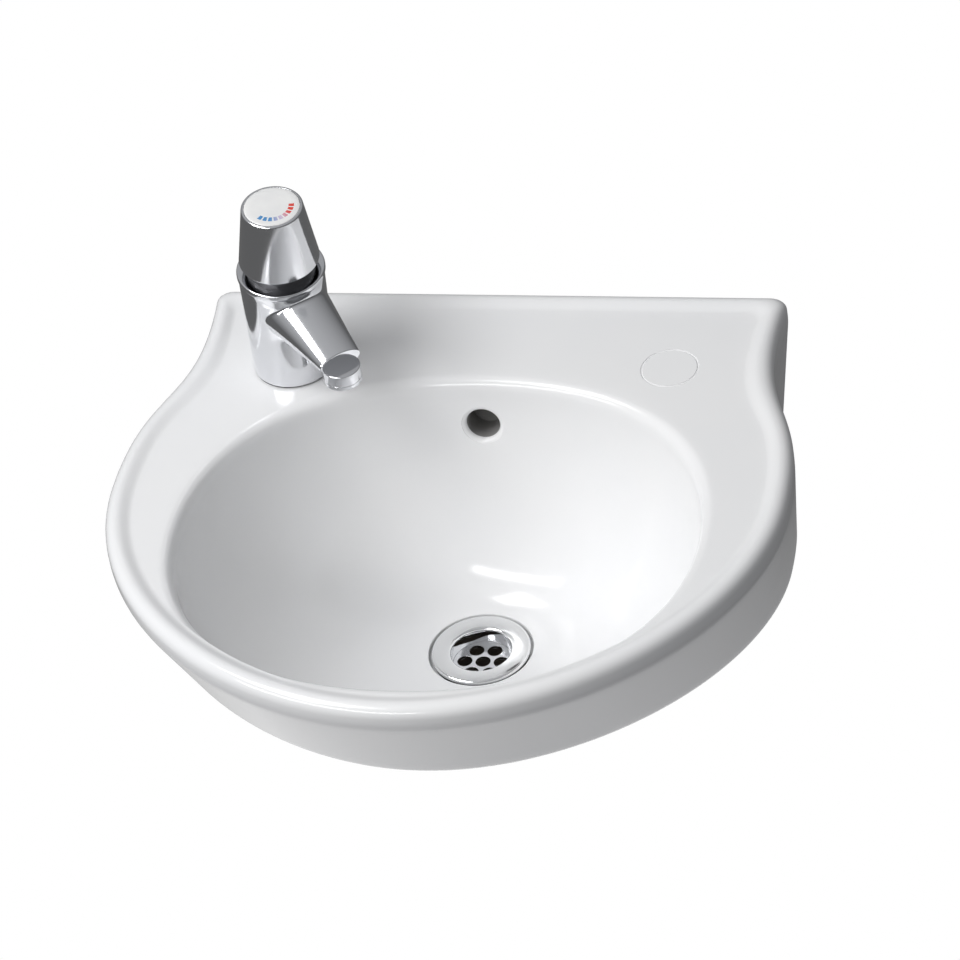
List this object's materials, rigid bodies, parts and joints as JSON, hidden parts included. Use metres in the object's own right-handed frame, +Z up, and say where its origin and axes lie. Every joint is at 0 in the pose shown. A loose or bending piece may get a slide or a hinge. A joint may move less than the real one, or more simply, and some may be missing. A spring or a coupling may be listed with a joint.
{
  "type": "finger rinse basin",
  "caption": "Small wall-hung white ceramic hand basin with a self-closing push mixer tap on its left, a spare blind tap hole, an overflow and a grid waste.",
  "frame": {"origin": "on the wall face of the basin, midway between the two wall-fixing holes", "axes": "+X along the wall to the user's right, +Y into the wall, +Z up; the bowl reaches towards -Y"},
  "size_m": [0.4, 0.37, 0.3277],
  "materials": {
    "glazed_china": "white glaze, glossy",
    "chrome": "polished chrome plate",
    "brass": "machined",
    "steel": "stainless, brushed",
    "rubber": "matt black",
    "white_plastic": "white, glossy",
    "grey_plastic": "matt grey",
    "disc_ceramic": "lapped, unglazed"
  },
  "bodies": {
    "basin": {"basin_casting": "glazed_china", "waste_flange": "chrome", "strainer_grid": "chrome", "waste_upper_seal": "rubber", "waste_lower_seal": "rubber", "waste_slip_washer": "grey_plastic", "waste_backnut": "brass", "tap_body": "chrome", "tap_base_gasket": "rubber", "fixing_rubber": "rubber", "fixing_plate": "steel", "fixing_stud": "steel", "fixing_nut": "brass", "inlet_filters": "steel", "aerator_housing": "chrome", "aerator_insert": "grey_plastic", "aerator_washer": "rubber", "port_seals": "rubber", "fixed_disc": "disc_ceramic", "cartridge_sleeve": "grey_plastic", "retaining_collar": "chrome", "rod_seal": "rubber"},
    "temperature_drive": {"mixing_disc": "disc_ceramic", "mixing_driver": "grey_plastic", "return_spring": "steel"},
    "push_control": {"push_knob": "chrome", "index_cap": "white_plastic", "knob_screw": "steel", "plunger": "brass", "plunger_seal": "rubber"}
  },
  "joints": [
    {"name": "temperature_turn", "type": "hinge", "parent": "basin", "child": "temperature_drive", "pos_m": [-0.113, -0.067, 0.0575], "axis": [0.056, -0.0668, 0.9962], "range_deg": [-60, 60]},
    {"name": "knob_press", "type": "slide", "parent": "temperature_drive", "child": "push_control", "axis": [-0.056, 0.0668, -0.9962], "range_m": [0, 0.006], "stiffness_N_per_m": 2500, "springref_m": -0.004, "deforming": ["return_spring"]}
  ]
}
